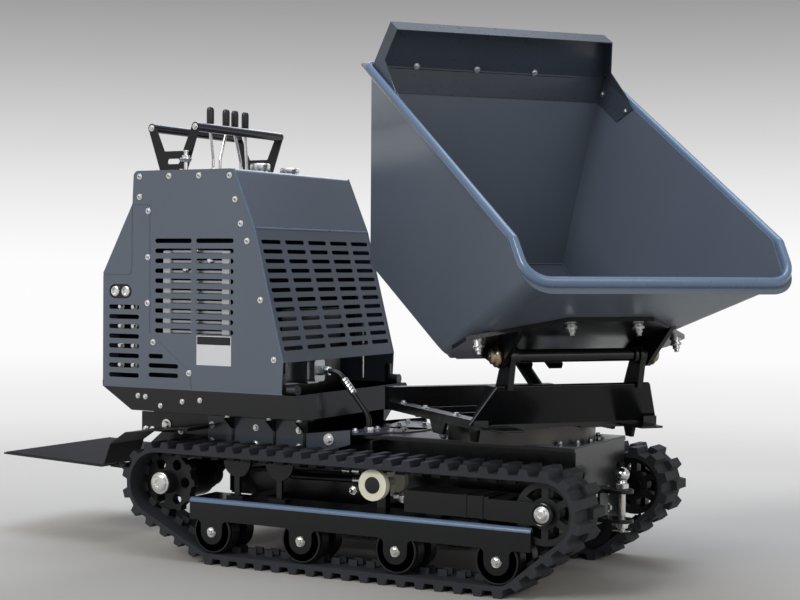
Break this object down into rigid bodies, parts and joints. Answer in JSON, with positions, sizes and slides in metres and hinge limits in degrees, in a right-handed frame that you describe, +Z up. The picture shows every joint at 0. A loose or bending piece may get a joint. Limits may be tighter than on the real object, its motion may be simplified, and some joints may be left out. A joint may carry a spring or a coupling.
{
  "type": "tracked site dumper",
  "caption": "Tracked walk-behind site dumper with a slewing, forward-tipping skip, engine hood with control levers and a fold-up operator platform.",
  "frame": {"origin": "on the ground, midway between the tracks and midway between sprocket and idler", "axes": "+X straight ahead towards the tow hitch and the dump end, +Y to the machine's left, +Z up"},
  "size_m": [3.1691, 1.5933, 1.9513],
  "materials": {
    "grey_paint": "gloss",
    "frame_black": "gloss",
    "cast_black": "satin",
    "track_rubber": "matt",
    "nylon": "satin",
    "zinc": "satin",
    "rod_chrome": "polished",
    "aluminium": "cast",
    "tread_black": "ribbed",
    "hose_rubber": "satin",
    "ring_steel": "machined",
    "moulded_black": "satin"
  },
  "bodies": {
    "chassis": {"carrier_roller_left": "nylon", "carrier_roller_right": "nylon", "chassis_frame": "frame_black", "control_levers": "zinc", "drive_motor_left": "frame_black", "drive_motor_right": "frame_black", "engine_bed": "frame_black", "engine_block": "frame_black", "handle_frame": "frame_black", "hood_grille": "grey_paint", "hood_rear_panel": "grey_paint", "hood_side_left": "grey_paint", "hood_side_right": "grey_paint", "hood_top_cover": "grey_paint", "hydraulic_pump": "aluminium", "idler_left": "cast_black", "idler_right": "cast_black", "mudguard_left": "moulded_black", "mudguard_right": "moulded_black", "platform_bracket": "frame_black", "pump_hose": "hose_rubber", "rollers_left": "cast_black", "rollers_right": "cast_black", "slewing_ring": "ring_steel", "sprocket_left": "cast_black", "sprocket_right": "cast_black", "tensioner_left": "frame_black", "tensioner_right": "frame_black", "tow_hitch": "zinc", "track_frame_left": "frame_black", "track_frame_right": "frame_black", "track_left": "track_rubber", "track_right": "track_rubber"},
    "platform": {"operator_platform": "tread_black"},
    "swing": {"swing_frame": "frame_black"},
    "skip": {"skip_tub": "grey_paint", "spill_guard": "grey_paint", "tilt_frame": "frame_black"},
    "ram_barrel": {"tip_cylinder_barrel": "frame_black"},
    "ram_rod": {"tip_cylinder_rod": "rod_chrome"}
  },
  "joints": [
    {"name": "slew", "type": "hinge", "parent": "chassis", "child": "swing", "pos_m": [0.49, 0, 0.5], "axis": [0, 0, 1], "range_deg": [-50, 130]},
    {"name": "tip", "type": "hinge", "parent": "swing", "child": "skip", "pos_m": [0.80255, -0.26226, 0.788], "axis": [0.6428, 0.766, 0], "range_deg": [-28, 47]},
    {"name": "cylinder_swing", "type": "hinge", "parent": "swing", "child": "ram_barrel", "pos_m": [0.71215, -0.18641, 0.566], "axis": [0.6428, 0.766, 0], "range_deg": [-25.98, 43.27]},
    {"name": "cylinder_rod", "type": "slide", "parent": "ram_barrel", "child": "ram_rod", "axis": [-0.6624, 0.5558, 0.5023], "range_m": [-0.1267, 0.2113]},
    {"name": "platform_fold", "type": "hinge", "parent": "chassis", "child": "platform", "pos_m": [-1.12, 0, 0.292], "axis": [0, 1, 0], "range_deg": [0, 85]}
  ],
  "couplings": [
    {"joint": "cylinder_swing", "follows": "tip", "ratio": 0.91},
    {"joint": "cylinder_rod", "follows": "tip", "m_per_rad": 0.2551}
  ]
}
